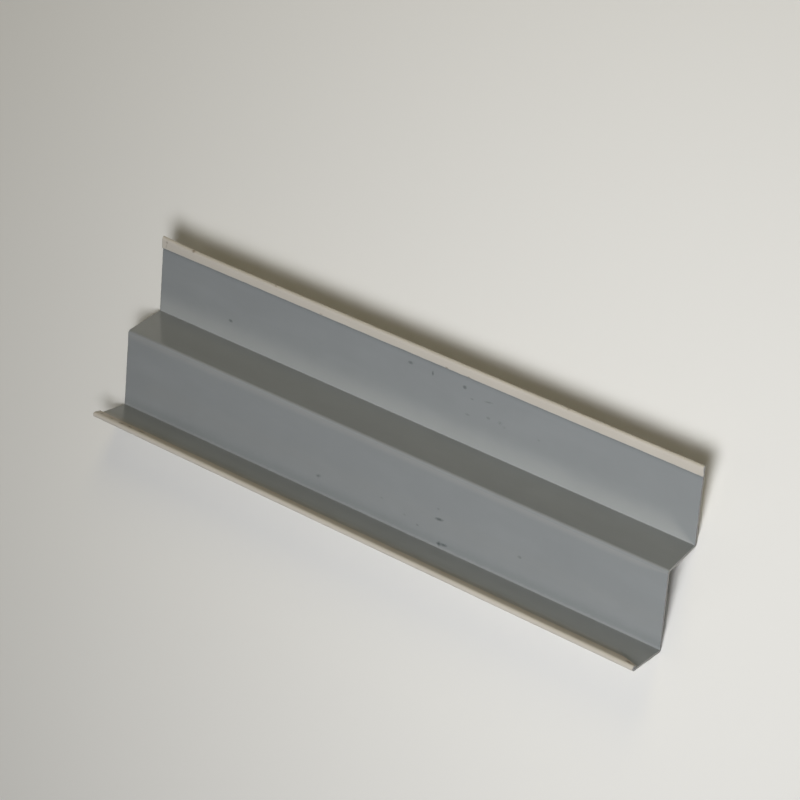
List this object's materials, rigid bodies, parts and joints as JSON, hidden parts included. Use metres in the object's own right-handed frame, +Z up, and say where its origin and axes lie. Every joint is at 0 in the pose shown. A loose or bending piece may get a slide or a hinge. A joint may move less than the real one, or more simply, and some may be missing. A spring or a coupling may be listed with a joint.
{
  "type": "stepped edge trim profile",
  "caption": "Short length of folded aluminium edge trim with a stair section: upper leg, ledge, lower leg and flange, hemmed along both long edges, for finishing where a panel meets a wall.",
  "frame": {"origin": "on the floor, under the middle of the strip's box, with the strip leaning back on its two heels as it comes to rest", "axes": "+X along the strip, +Y from the flange's nose towards the top hem, +Z up, away from the floor"},
  "size_m": [0.15, 0.0448, 0.0108],
  "materials": {
    "coated_sheet": "aluminium sheet with a glossy cool grey coat on its front side and a warm white coat on its back and hems"
  },
  "bodies": {
    "root": {"stepped_trim": "coated_sheet"}
  },
  "joints": []
}
